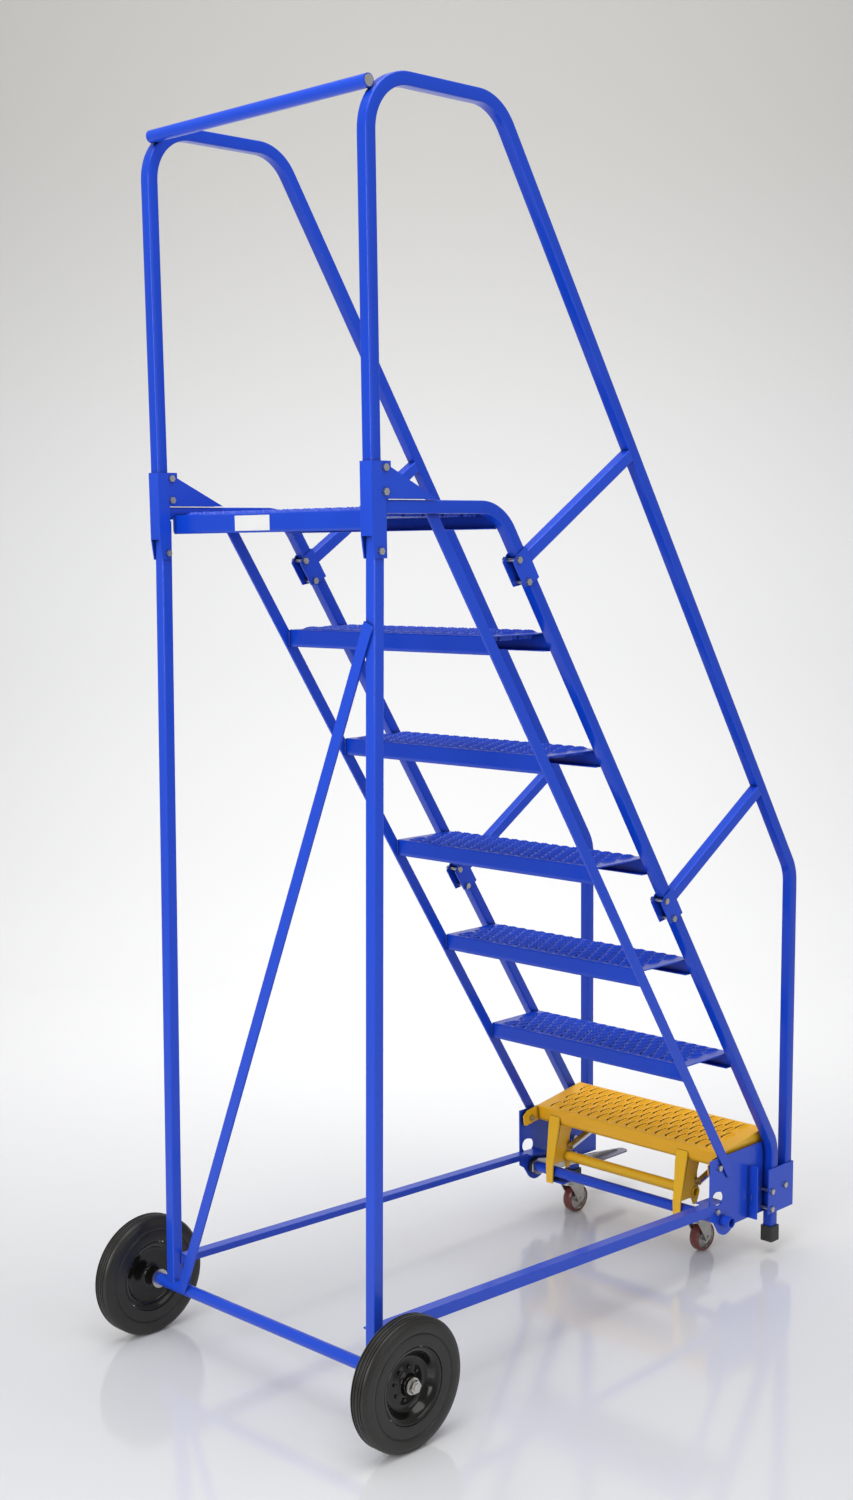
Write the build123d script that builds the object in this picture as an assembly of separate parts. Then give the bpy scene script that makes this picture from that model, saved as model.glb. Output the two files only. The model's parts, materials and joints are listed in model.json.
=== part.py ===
from build123d import *
import math
import os

# ---- Driving dimensions, millimetres --------------------------------------
RISE = 254.0                 # height from one step to the next
SLOPE = math.radians(57.49)  # climbing angle of the stringers
STEP_COUNT = 5               # blue steps between the lock step and the platform
STEP_DEPTH = 178.0           # front to rear of a tread
STEP_HALF = 305.0            # half width between the stringers
FLANGE = 38.0                # depth of the folded tread edges
SHEET = 2.5                  # tread sheet
TOOTH = 8.0                  # height of the grip teeth
FIRST_TOP = 281.7            # flat top of the yellow lock step when level
FIRST_REAR = -1138.7         # rear edge of the lock step
PLATFORM_TOP = 1807.0
PLATFORM_DEPTH = 325.6

TUBE = 25.4                  # square tube, outside
WALL = 2.0
CORNER = 3.0
BEND = 100.0                 # centreline bend radius of every bent tube
TUBE_X = STEP_HALF + TUBE / 2

STRINGER_TOP = 1803.3        # centreline of the level top rail
STRINGER_BEND = -333.6       # where the top rail would meet the slope
LEG_Y = -1307.0              # front leg centreline
FOOT_GAP = 30.0              # rubber tips clear of the floor while rolling
FOOT_TALL = 38.0

RAIL_TOP = 2563.3            # handrail centreline height
RAIL_Y = 4.0                 # rear upright of the handrail
RAIL_BEND = -335.7
RAIL_LEG_Y = -1365.0
RAIL_END = 110.0

POST_FOOT = 38.0             # rear post centreline at axle height
AXLE_Z = 135.0
AXLE_Y = 40.0
AXLE_TUBE_R = 13.35
AXLE_R = 8.0
WHEEL_R = 135.0
HUB_IN = 372.0
TYRE_IN = 386.0
TYRE_OUT = 433.0

PLATE = 3.0                  # side plates and clamps
BAR = 4.8                    # flat rear stringer bars

PIVOT_Y = -1112.0            # lock step hinge
PIVOT_Z = 258.0
LOCK_TILT = 8.5              # front-up tilt of the lock step while rolling
LOCK_HALF = 292.0
ARM_NEAR = -193.0
ARM_FAR = 217.0
LOCK_TUBE_Y = -1167.5
LOCK_TUBE_Z = 159.0

CROSS_Y = -1128.0            # caster carriage tube
CROSS_Z = 124.0
CROSS_R = 13.35
CASTER_X = 205.0
CASTER_MID = 13.5            # casters sit a little towards the pedal side
CASTER_R = 37.5
SWIVEL_Y = -1172.0
CASTER_Y = -1200.0

PEDAL_TIP = -1478.0
REAR_EXTENT = AXLE_Y + WHEEL_R
SHIFT_Y = -(PEDAL_TIP + REAR_EXTENT) / 2

REAR_BOLTS = ((-14.0, 1874.0), (-14.0, 1830.0), (0.0, 1722.0))
LOW_BOLTS = ((-1289.8, 161.0), (-1289.8, 116.0), (-1344.0, 165.0))

RUN = RISE / math.tan(SLOPE)
SIDES = (("l", -1.0), ("r", 1.0))


# ---- Small builders --------------------------------------------------------
def block(x0, x1, y0, y1, z0, z1):
    """Rectangular solid between opposite corners."""
    size = Box(abs(x1 - x0), abs(y1 - y0), abs(z1 - z0))
    return Pos((x0 + x1) / 2, (y0 + y1) / 2, (z0 + z1) / 2) * size


def slab(x0, x1, outline):
    """Plate of the given y, z outline between two widths."""
    low = min(x0, x1)
    plane = Plane(origin=(low, 0, 0), x_dir=(0, 1, 0), z_dir=(1, 0, 0))
    face = make_face(Polyline(*outline, close=True))
    return extrude(plane * face, abs(x1 - x0))


def rod_x(radius, x0, x1, y, z):
    """Round bar lying across the ladder."""
    length = abs(x1 - x0)
    return Pos((x0 + x1) / 2, y, z) * Rot(0, 90, 0) * Cylinder(radius, length)


def pipe_x(radius, inner, x0, x1, y, z):
    """Round tube lying across the ladder."""
    return rod_x(radius, x0, x1, y, z) - rod_x(inner, x0 - 1, x1 + 1, y, z)


def rod_z(radius, x, y, z0, z1):
    """Upright round bar."""
    return Pos(x, y, (z0 + z1) / 2) * Cylinder(radius, abs(z1 - z0))


def hex_x(across, x0, x1, y, z):
    """Hexagon head or nut lying across the ladder."""
    plane = Plane(origin=(min(x0, x1), y, z), x_dir=(0, 1, 0), z_dir=(1, 0, 0))
    face = plane * RegularPolygon(across / math.sqrt(3), 6)
    return extrude(face, abs(x1 - x0))


def hex_y(across, x, y0, y1, z):
    """Hexagon head pointing along the ladder."""
    plane = Plane(origin=(x, min(y0, y1), z), x_dir=(0, 0, 1), z_dir=(0, 1, 0))
    face = plane * RegularPolygon(across / math.sqrt(3), 6)
    return extrude(face, abs(y1 - y0))


def square_tube(x, points, radius=BEND):
    """Square tube following y, z points at one width, bends of one radius."""
    corners = [Vector(x, y, z) for y, z in points]
    if len(corners) > 2:
        path = FilletPolyline(*corners, radius=radius)
    else:
        path = Line(*corners)
    start = Plane(corners[0], x_dir=(1, 0, 0), z_dir=corners[1] - corners[0])
    outer = RectangleRounded(TUBE, TUBE, CORNER)
    inner = RectangleRounded(TUBE - 2 * WALL, TUBE - 2 * WALL, CORNER - WALL)
    return sweep(start * (outer - inner), path=path)


def solids(items):
    """One node made of several separate solids."""
    found = []
    for item in items:
        found += list(item.solids())
    return Compound(children=found)


def save(name, shape):
    """Write one node, moved to the shared origin."""
    export_step(Pos(0, SHIFT_Y, 0) * shape, "parts/" + name + ".step")


def along(s, n=0.0):
    """Point on the stringer slope: s up the slope, n behind its tube."""
    uy = math.cos(SLOPE)
    uz = math.sin(SLOPE)
    y0 = STRINGER_BEND
    z0 = STRINGER_TOP
    base = y0 * uy + z0 * uz
    return (y0 + (s - base) * uy + n * uz, z0 + (s - base) * uz - n * uy)


# ---- Treads ----------------------------------------------------------------
def tread_profile(rear, top, depth):
    """Folded sheet section: top, two flanges and the front return lip."""
    front = rear - depth
    low = top - FLANGE
    outline = [(rear, low), (rear, top - 3), (rear - 3, top), (front + 3, top)]
    outline += [(front, top - 3), (front, low), (front + 20, low)]
    outline += [(front + 20, low + SHEET), (front + SHEET, low + SHEET)]
    outline += [(front + SHEET, top - SHEET), (rear - SHEET, top - SHEET)]
    outline += [(rear - SHEET, low)]
    return outline


def grip_rows(depth):
    """Offsets of the tooth rows from the rear edge."""
    count = 2 * round(depth / 57.0) - 1
    pitch = depth / (count + 1)
    return [(-pitch * (i + 1), i % 2) for i in range(count)]


def lozenge(length, width):
    """Slanted four-sided outline of one grip tooth."""
    a = length / 2
    b = width / 2
    return make_face(Polyline((-a, 0), (-a / 2, b), (a, 0), (a / 2, -b), close=True))


def tread(half, rear, top, depth):
    """Grip tread with rows of raised slanted teeth."""
    sheet = slab(-half, half, tread_profile(rear, top, depth))
    across = int((2 * half - 40) / 31.0)
    teeth = []
    for offset, odd in grip_rows(depth):
        for i in range(across - odd):
            x = (i - (across - odd - 1) / 2) * 31.0
            teeth.append(Pos(x, rear + offset, 0) * Rot(0, 0, 75) * lozenge(44, 13))
    raised = extrude(Pos(0, 0, top - 1) * Sketch(children=teeth), TOOTH + 1)
    return sheet + raised


def blue_steps():
    """The five fixed steps."""
    first = tread(STEP_HALF, FIRST_REAR + RUN, FIRST_TOP + RISE, STEP_DEPTH)
    for k in range(STEP_COUNT):
        save("step_" + str(k + 2), Pos(0, k * RUN, k * RISE) * first)


def platform():
    """Top platform, its folded edges and a blank plate on the rear edge."""
    rear = -20.0
    top = PLATFORM_TOP - TOOTH
    whole = tread(STEP_HALF, rear, top, PLATFORM_DEPTH)
    upper = block(-400, 400, -500, 100, top - SHEET, PLATFORM_TOP + 5)
    save("platform", whole & upper)
    save("platform_edges", solids([whole - upper]))
    save("label_plate", block(1, 107, rear, rear + 0.6, 1765, 1795))


# ---- Frame -----------------------------------------------------------------
def front_stringers():
    """Bent front stringers: top rail, slope and plumb front leg."""
    low = STRINGER_TOP - (LEG_Y - STRINGER_BEND) * -math.tan(SLOPE)
    path = [(-8.8, STRINGER_TOP), (STRINGER_BEND, STRINGER_TOP)]
    path += [(LEG_Y, low), (LEG_Y, FOOT_GAP + 4)]
    for tag, side in SIDES:
        save("front_stringer_" + tag, square_tube(side * TUBE_X, path))


def foot_tips():
    """Rubber cups on the legs."""
    for tag, side in SIDES:
        x = side * TUBE_X
        cup = block(x - 17, x + 17, LEG_Y - 17, LEG_Y + 17, FOOT_GAP,
                    FOOT_GAP + FOOT_TALL)
        cup = fillet(cup.edges().filter_by(Axis.Z), 4)
        hollow = extrude(Pos(x, LEG_Y, FOOT_GAP + 4) * RectangleRounded(TUBE, TUBE, CORNER), 60)
        save("foot_tip_" + tag, cup - hollow)


def rear_bar_outline():
    """Flat bar behind the treads, parallel to the slope."""
    wide = TUBE / math.sin(SLOPE)
    low_z = 228.0
    high_z = STRINGER_TOP - TUBE / 2
    edge = FIRST_REAR + 1.2
    y_low = edge + (low_z - FIRST_TOP) / math.tan(SLOPE)
    y_high = edge + (high_z - FIRST_TOP) / math.tan(SLOPE)
    return [(y_low, low_z), (y_low + wide, low_z), (y_high + wide, high_z), (y_high, high_z)]


def rear_stringers():
    """Flat rear stringer bars outside the step ends."""
    for tag, side in SIDES:
        bar = slab(side * STEP_HALF, side * (STEP_HALF + BAR), rear_bar_outline())
        save("rear_stringer_" + tag, bar)


def post_line():
    """Centreline of the leaning rear posts."""
    lean = POST_FOOT / (1700.0 - AXLE_Z)
    top = STRINGER_TOP - TUBE / 2 - 3
    return [(POST_FOOT, AXLE_Z), (POST_FOOT - (top - AXLE_Z) * lean, top)]


def rear_posts():
    """Rear posts saddled onto the axle tube."""
    for tag, side in SIDES:
        post = square_tube(side * TUBE_X, post_line())
        saddle = rod_x(AXLE_TUBE_R, -400, 400, AXLE_Y, AXLE_Z)
        y, z = REAR_BOLTS[2]
        save("rear_post_" + tag, post - saddle - rod_x(4.0, -400, 400, y, z))


def cross_brace():
    """Flat diagonal on the rear faces of the posts."""
    lean = POST_FOOT / (1700.0 - AXLE_Z)
    tilt = math.degrees(math.atan(lean))
    high = Vector(-318, 0, 1590)
    low = Vector(279, 0, 123)
    length = (high - low).length
    angle = math.degrees(math.atan2(high.Z - low.Z, high.X - low.X))
    bar = Pos(length / 2, 0, 0) * Box(length, 5, TUBE)
    bar = Pos(low.X, 0, low.Z - AXLE_Z) * Rot(0, -angle, 0) * bar
    bar = Pos(0, TUBE / 2 / math.cos(math.atan(lean)) + 2.5, 0) * bar
    bar = Pos(0, POST_FOOT, AXLE_Z) * Rot(tilt, 0, 0) * bar
    saddle = rod_x(AXLE_TUBE_R, -400, 400, AXLE_Y, AXLE_Z)
    below = block(-400, 400, -100, 200, 0, AXLE_Z - 1)
    save("cross_brace", bar - saddle - below)


def axle():
    """Axle tube, the rod through it and its washers and nuts."""
    tube = pipe_x(AXLE_TUBE_R, 10.9, -368, 368, AXLE_Y, AXLE_Z)
    save("axle_tube", tube)
    save("axle_rod", rod_x(AXLE_R, -440, 440, AXLE_Y, AXLE_Z))
    items = []
    for tag, side in SIDES:
        items.append(pipe_x(21, AXLE_R, min(side * 368, side * 371), max(side * 368, side * 371),
                            AXLE_Y, AXLE_Z))
        near = min(side * 426, side * 428)
        items.append(pipe_x(17, AXLE_R, near, near + 2, AXLE_Y, AXLE_Z))
        nut = hex_x(24, side * 428, side * 437, AXLE_Y, AXLE_Z)
        items.append(nut - rod_x(AXLE_R, -450, 450, AXLE_Y, AXLE_Z))
    save("axle_hardware", solids(items))


def side_rail_outline(drop):
    """Sloping edge lines of the lower side rail."""
    def line(y):
        return 207.0 + (y + 20.0) * 0.0336
    rear = POST_FOOT - 8
    front = -1077.0
    return [(rear, line(rear)), (front, line(front)), (front, line(front) - drop),
            (rear, line(rear) - drop)]


def side_rails():
    """Angle-iron rails joining the side plates to the rear posts."""
    for tag, side in SIDES:
        leg = slab(side * (STEP_HALF - PLATE), side * STEP_HALF, side_rail_outline(TUBE))
        cap = slab(side * (STEP_HALF - TUBE), side * (STEP_HALF - PLATE), side_rail_outline(PLATE))
        reach = side_rail_outline(PLATE)
        tip = [reach[1], (-1136, reach[1][1] - 2), (-1136, reach[1][1] - 5), reach[2]]
        lap = slab(side * (STEP_HALF - 42), side * (STEP_HALF - PLATE), tip)
        save("side_rail_" + tag, leg + cap + lap)


def side_plate_outline():
    """Outline of the front side plates with the round bearing lobe."""
    top = Polyline((-1172, 103), (-1319, 103), (-1319, 282), (-1077, 282), (-1077, 134))
    back = Polyline((-1077, 134), (-1094, 124), (-1108, 103))
    lobe = ThreePointArc((-1108, 103), (-1141, 85), (-1172, 103))
    return make_face([top, back, lobe])


def side_plates():
    """Front side plates carrying the lock step and the caster carriage."""
    for tag, side in SIDES:
        low = min(side * (STEP_HALF - PLATE), side * STEP_HALF)
        plane = Plane(origin=(low, 0, 0), x_dir=(0, 1, 0), z_dir=(1, 0, 0))
        plate = extrude(plane * side_plate_outline(), PLATE)
        window = plane * Pos(-1108, 183) * Rot(0, 0, 12) * SlotOverall(44, 33)
        plate -= extrude(window, PLATE)
        plate -= rod_x(CROSS_R + 0.08, -400, 400, CROSS_Y, CROSS_Z)
        plate -= rod_x(4.3, -400, 400, PIVOT_Y, PIVOT_Z)
        for y, z in LOW_BOLTS[:2]:
            plate -= rod_x(4.3, -400, 400, y, z)
        tab = block(side * STEP_HALF, side * (STEP_HALF + TUBE), -1235, -1232, 103, 235)
        tab -= block(side * (STEP_HALF + 9), side * (STEP_HALF + 14), -1240, -1225, 146, 164)
        plate -= block(side * (STEP_HALF - 10), side * (STEP_HALF + 10), -1246, -1239, 143, 165)
        save("side_plate_" + tag, plate + tab)


# ---- Handrail --------------------------------------------------------------
def handrail_low():
    """Height where the handrail slope would meet its front upright."""
    return RAIL_TOP - (RAIL_BEND - RAIL_LEG_Y) * math.tan(SLOPE)


def handrails():
    """One bent loop of tube on each side."""
    path = [(RAIL_Y, STRINGER_TOP - TUBE / 2), (RAIL_Y, RAIL_TOP), (RAIL_BEND, RAIL_TOP)]
    path += [(RAIL_LEG_Y, handrail_low()), (RAIL_LEG_Y, RAIL_END)]
    for tag, side in SIDES:
        save("handrail_" + tag, square_tube(side * TUBE_X, path))


def brace_stations():
    """Positions of the two handrail braces up the slope."""
    return (320.0, 1216.4)


def sloped_outline(s, spans):
    """Turn slope and depth pairs round a station into y, z points."""
    return [along(s + a, b) for a, b in spans]


def rail_spacing():
    """Perpendicular distance between stringer and handrail slopes."""
    uy = math.cos(SLOPE)
    uz = math.sin(SLOPE)
    return (STRINGER_BEND - RAIL_BEND) * uz + (RAIL_TOP - STRINGER_TOP) * uy


def handrail_braces():
    """Short square tubes from each clamp to the handrail."""
    reach = rail_spacing() - TUBE / 2
    for tag, side in SIDES:
        items = []
        for s in brace_stations():
            near = along(s, -(TUBE / 2 + PLATE))
            far = along(s, -reach)
            items.append(square_tube(side * TUBE_X, [near, far]))
        save("handrail_brace_" + tag, solids(items))


def clamp(x, s):
    """U clamp over the stringer tube, open to the rear."""
    half = TUBE / 2
    web = sloped_outline(s, [(25, -half - PLATE), (25, -half), (-48, -half), (-48, -half - PLATE)])
    cheek = [(25, -half - PLATE), (25, half), (18, half + 19), (-40, half + 19)]
    cheek += [(-48, half), (-48, -half - PLATE)]
    body = slab(x - half, x + half, web)
    for near in (x - half - PLATE, x + half):
        side = slab(near, near + PLATE, sloped_outline(s, cheek))
        for a in (14.7, -37.3):
            y, z = along(s + a, 18)
            side -= rod_x(4.3, -400, 400, y, z)
        body += side
    return body


def stringer_clamps():
    """Two clamps on each stringer."""
    for tag, side in SIDES:
        items = [clamp(side * TUBE_X, s) for s in brace_stations()]
        save("stringer_clamp_" + tag, solids(items))


def bolt(x0, x1, y, z, radius=4.0):
    """Bolt with a head outside x0 and a nut outside x1."""
    shank = rod_x(radius, x0 - 3, x1 + 5, y, z)
    head = hex_x(radius * 3.2, x0 - 5.5, x0, y, z)
    nut = hex_x(radius * 3.2, x1, x1 + 6.5, y, z)
    return shank + head + nut


def clamp_bolts():
    """Bolts closing the stringer clamps behind the tube."""
    items = []
    half = TUBE / 2 + PLATE
    for tag, side in SIDES:
        for s in brace_stations():
            for a in (14.7, -37.3):
                y, z = along(s + a, 18)
                items.append(bolt(side * TUBE_X - half, side * TUBE_X + half, y, z))
    save("clamp_bolts", solids(items))


def rear_bracket_outline():
    """Cheek of the bracket joining post, top rail and handrail."""
    web = RAIL_Y + TUBE / 2 + PLATE
    points = [(web, 1886), (-29.7, 1886), (-29.7, 1875), (-150, 1818), (-17, 1818)]
    points += [(-17, 1709), (14, 1709), (web, 1750)]
    return points


def rear_brackets():
    """Folded brackets at the top of the rear posts."""
    half = TUBE / 2
    web = RAIL_Y + half
    for tag, side in SIDES:
        x = side * TUBE_X
        body = block(x - half, x + half, web, web + PLATE, 1750, 1886)
        for near in (x - half - PLATE, x + half):
            cheek = slab(near, near + PLATE, rear_bracket_outline())
            if abs(near + PLATE / 2) < TUBE_X:
                cheek -= block(-STEP_HALF - 1, STEP_HALF + 1, -400, -8.8, 1700, 1818)
            for y, z in REAR_BOLTS:
                cheek -= rod_x(4.3, -400, 400, y, z)
            body += cheek
        save("rear_bracket_" + tag, body)


def lower_brackets():
    """Folded brackets tying each handrail foot to the front leg."""
    half = TUBE / 2
    front = RAIL_LEG_Y - half
    for tag, side in SIDES:
        x = side * TUBE_X
        web = block(x - half, x + half, front - PLATE, front, 105, 218)
        outer = block(x + side * half, x + side * (half + PLATE), front - PLATE, -1277, 105, 218)
        inner = block(x - side * (half + PLATE), x - side * (half + 2 * PLATE),
                      front - PLATE, -1277, 105, 218)
        gap = block(x - side * half, x - side * (half + PLATE), front - PLATE, -1319, 105, 218)
        body = web + outer + inner + gap
        for y, z in LOW_BOLTS:
            body -= rod_x(4.3, -400, 400, y, z)
        save("lower_bracket_" + tag, body)


def bracket_bolts():
    """Bolts of the rear and lower brackets."""
    items = []
    half = TUBE / 2 + PLATE
    for tag, side in SIDES:
        x = side * TUBE_X
        for y, z in REAR_BOLTS[:2]:
            items.append(bolt(x - half, x + half, y, z))
        y, z = REAR_BOLTS[2]
        items.append(bolt(x - half, x + half, y, z, 3.8))
        for y, z in LOW_BOLTS:
            inner = x - side * (half + PLATE)
            outer = x + side * half
            items.append(bolt(min(inner, outer), max(inner, outer), y, z))
    save("bracket_bolts", solids(items))


def top_bar():
    """Round bar joining the handrails behind the climber, with end plugs."""
    bend_y = RAIL_Y - BEND
    bend_z = RAIL_TOP - BEND
    reach = BEND + TUBE / 2 + 12.5
    y = bend_y + reach * math.cos(math.radians(43))
    z = bend_z + reach * math.sin(math.radians(43))
    bar = pipe_x(12.7, 10.7, -318, 318, y, z)
    save("top_bar", bar)
    plugs = [rod_x(10.7, 314, 319, y, z), rod_x(10.7, -319, -314, y, z)]
    save("top_bar_plugs", solids(plugs))


# ---- Wheels ----------------------------------------------------------------
def turned(profile, x, y, z):
    """Revolve a radius, width outline about a crosswise axis."""
    face = make_face(Polyline(*profile, close=True))
    solid = revolve(face, Axis.Y, 360)
    return Pos(x, y, z) * Rot(0, 0, -90) * solid


def tyre_profile():
    """Section of the tyre: radius against half width."""
    out = WHEEL_R
    half = (TYRE_OUT - TYRE_IN) / 2
    side = [(77, half - 3), (94, half - 1), (116, half), (127, half - 1.5), (out - 2.5, half - 6)]
    points = [(r, -w) for r, w in side] + [(out, 12 - half), (out, half - 12)]
    return points + side[::-1]


def rim_profile(side):
    """Section of the dished pressed centre, with its long hub inwards."""
    hub = (TYRE_IN + TYRE_OUT) / 2 - HUB_IN
    edge = (TYRE_OUT - TYRE_IN) / 2 - 3
    points = [(8.08, -hub), (19, -hub), (19, -8), (52, -5), (68, -edge + 3), (77, -edge), (77, edge)]
    points += [(68, edge - 3), (56, 1), (19, 0), (19, 14), (8.08, 14)]
    return [(r, w * side) for r, w in points]


def road_wheels():
    """The two large rear wheels."""
    for tag, side in SIDES:
        x = side * (TYRE_IN + TYRE_OUT) / 2
        save("tyre_" + tag, turned(tyre_profile(), x, AXLE_Y, AXLE_Z))
        save("wheel_rim_" + tag, turned(rim_profile(side), x, AXLE_Y, AXLE_Z))


# ---- Caster carriage -------------------------------------------------------
def carriage():
    """Cross tube turning in the side plates, with caster mounts."""
    tube = pipe_x(CROSS_R, 10.9, -332, 332, CROSS_Y, CROSS_Z)
    save("carriage_tube", tube)
    mounts = []
    tops = []
    for tag, side in SIDES:
        x = CASTER_MID + side * CASTER_X
        seat = block(x - 28, x + 28, SWIVEL_Y - 34, CROSS_Y + 10, 98, 103)
        web = slab(x + 12, x + 18, [(SWIVEL_Y + 4, 103), (CROSS_Y + 10, 103), (CROSS_Y + 10, 122),
                                    (CROSS_Y - 8, 122)])
        web -= rod_x(CROSS_R, -400, 400, CROSS_Y, CROSS_Z)
        mounts.append(seat + web)
        plate = block(x - 26, x + 26, SWIVEL_Y - 30, SWIVEL_Y + 30, 95, 98)
        tops.append(plate + rod_z(20, x, SWIVEL_Y, 86, 95) + rod_z(6, x, SWIVEL_Y, 79, 86))
    save("caster_mounts", solids(mounts))
    save("caster_tops", solids(tops))
    rings = [pipe_x(19, CROSS_R, 292, 300, CROSS_Y, CROSS_Z)]
    rings.append(pipe_x(19, CROSS_R, -300, -292, CROSS_Y, CROSS_Z))
    save("carriage_bushes", solids(rings))


def caster_forks():
    """Swivel forks with their axles."""
    for tag, side in SIDES:
        x = CASTER_MID + side * CASTER_X
        crown = rod_z(20, x, SWIVEL_Y, 82, 85.7)
        crown += block(x - 19, x + 19, CASTER_Y - 10, SWIVEL_Y + 14, 82, 85.7)
        crown -= rod_z(6.08, x, SWIVEL_Y, 70, 90)
        outline = [(SWIVEL_Y + 14, 85.7), (CASTER_Y - 10, 85.7), (CASTER_Y - 13, 37),
                   (CASTER_Y - 8, 29), (CASTER_Y + 8, 29), (CASTER_Y + 13, 40)]
        body = crown
        for near in (x - 19, x + 16):
            body += slab(near, near + 3, outline)
        axle_pin = rod_x(4, x - 21, x + 21, CASTER_Y, CASTER_R)
        save("caster_fork_" + tag, body + axle_pin)


def caster_wheels():
    """Small wheels with a bonded tread."""
    core = [(4.06, -15.4), (11, -15.4), (11, -7), (26, -6), (29, -12), (29, 12), (26, 6), (11, 7),
            (11, 15.4), (4.06, 15.4)]
    tread_ring = [(29, -12), (34, -12.5), (CASTER_R - 0.8, -8), (CASTER_R, 0),
                  (CASTER_R - 0.8, 8), (34, 12.5), (29, 12)]
    for tag, side in SIDES:
        x = CASTER_MID + side * CASTER_X
        save("caster_core_" + tag, turned(core, x, CASTER_Y, CASTER_R))
        save("caster_tread_" + tag, turned(tread_ring, x, CASTER_Y, CASTER_R))


# ---- Lock step -------------------------------------------------------------
def tilt(shape):
    """Raise the front of a lock step piece to its rolling position."""
    return Pos(0, PIVOT_Y, PIVOT_Z) * Rot(-LOCK_TILT, 0, 0) * Pos(0, -PIVOT_Y, -PIVOT_Z) * shape


def lock_tread():
    """Yellow tread with its ear plates round the hinge bolt."""
    body = tread(LOCK_HALF, FIRST_REAR, FIRST_TOP, STEP_DEPTH)
    top = FIRST_TOP
    ear = [(-1083, 247), (-1083, 272), (-1100, top), (FIRST_REAR, top)]
    ear += [(FIRST_REAR - STEP_DEPTH, top), (FIRST_REAR - STEP_DEPTH, top - FLANGE)]
    ear += [(FIRST_REAR, top - FLANGE), (-1090, top - FLANGE)]
    cheeks = []
    for side in (-1.0, 1.0):
        cheek = slab(side * LOCK_HALF, side * (LOCK_HALF + 3), ear)
        cheeks.append(tilt(cheek - rod_x(4.07, -400, 400, PIVOT_Y, PIVOT_Z)))
    save("lock_tread", tilt(body))
    save("lock_cheeks", solids(cheeks))


def arm_outline():
    """Curved drop arm behind the raised lock step, arched over the carriage tube."""
    points = [(-1140, 247), (-1183, 241), (-1183, 228), (-1176, 210), (-1175, 198)]
    points += [(-1178, 180), (-1184, 162), (-1184, 148), (-1174, 127), (-1165, 127)]
    points += [(-1158, 143), (-1144, 148), (-1112.5, 148)]
    return points


def arm_flange(x):
    """Rear flange of a drop arm, narrowing to a tip behind the carriage tube."""
    outline = [(-1136, 268), (-1108.5, 147), (-1106, 98), (-1110, 98), (-1112.5, 147), (-1137.5, 247.5)]
    outline += [(-1140, 268)]
    face = [(x, 98), (x + 20, 98), (x + 25, 170), (x + 33, 240), (x + 34, 268), (x, 268)]
    plane = Plane(origin=(0, -1090, 0), x_dir=(1, 0, 0), z_dir=(0, -1, 0))
    taper = extrude(plane * make_face(Polyline(*face, close=True)), 80)
    return slab(x, x + 37, outline) & taper


def lock_arms():
    """Two drop arms with tapered stiffening flanges."""
    items = []
    for x in (ARM_NEAR, ARM_FAR):
        arm = slab(x, x + 5, arm_outline()) + arm_flange(x)
        arm -= rod_x(CROSS_R, -400, 400, LOCK_TUBE_Y, LOCK_TUBE_Z)
        arm -= tilt(slab(-LOCK_HALF, LOCK_HALF, raised_corner()))
        items.append(arm)
    save("lock_arms", solids(items))


def raised_corner():
    """Space of the level lock step's rear corner, kept clear by the arms."""
    low = FIRST_TOP - FLANGE
    return [(FIRST_REAR, FIRST_TOP), (FIRST_REAR - 80, FIRST_TOP), (FIRST_REAR - 80, low), (FIRST_REAR, low)]


def lock_tube():
    """Yellow tube tying the two arms together."""
    tube = pipe_x(CROSS_R, 10.9, ARM_NEAR - 4, ARM_FAR + 8, LOCK_TUBE_Y, LOCK_TUBE_Z)
    save("lock_tube", tube)


def return_springs():
    """Bright spring cylinders running forward from the drop arms."""
    y0, z0 = -1167.0, 186.0
    y1, z1 = -1285.0, 222.0
    angle = math.degrees(math.atan2(z1 - z0, y0 - y1))
    length = math.hypot(y1 - y0, z1 - z0)
    items = []
    for x, wall in ((ARM_NEAR - 10.0, ARM_NEAR), (ARM_FAR - 10.0, ARM_FAR)):
        barrel = Rot(90, 0, 0) * Cylinder(9, length)
        barrel = Pos(x, (y0 + y1) / 2, (z0 + z1) / 2) * Rot(-angle, 0, 0) * barrel
        items.append(barrel + rod_x(4, x, wall, y0 - 2, z0 + 1))
    save("return_springs", solids(items))


# ---- Pedal -----------------------------------------------------------------
def pedal():
    """Foot release blade and the link that carries it."""
    blade = block(262, 296, PEDAL_TIP, PEDAL_TIP + 112, 86, 90)
    edges = blade.edges().filter_by(Axis.Z).group_by(Axis.Y)[0]
    save("pedal_blade", fillet(edges, 14))
    outline = [(-1128, 146), (-1109, 135), (-1109, 113), (-1128, 102), (-1300, 93), (-1370, 90)]
    outline += [(-1455, 90), (-1455, 94), (-1375, 104), (-1300, 111)]
    link = slab(284, 289, outline) - rod_x(CROSS_R + 0.07, -400, 400, CROSS_Y, CROSS_Z)
    save("pedal_link", link)


def hinge_bolts():
    """Pivot bolts of the lock step and the lower fixing bolts."""
    items = []
    for tag, side in SIDES:
        outer = side * (STEP_HALF + 0.0)
        inner = side * (LOCK_HALF - 0.5)
        low = min(outer, inner)
        high = max(outer, inner)
        shank = rod_x(4.0, low - 3, high + 3, PIVOT_Y, PIVOT_Z)
        head = hex_x(13, outer, outer + side * 5.5, PIVOT_Y, PIVOT_Z)
        nut = hex_x(13, inner, inner - side * 6.5, PIVOT_Y, PIVOT_Z)
        items.append(shank + head + nut)
        items.append(hex_x(13, outer, outer + side * 5.5, -1104, 150))
    save("hinge_bolts", solids(items))


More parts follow.
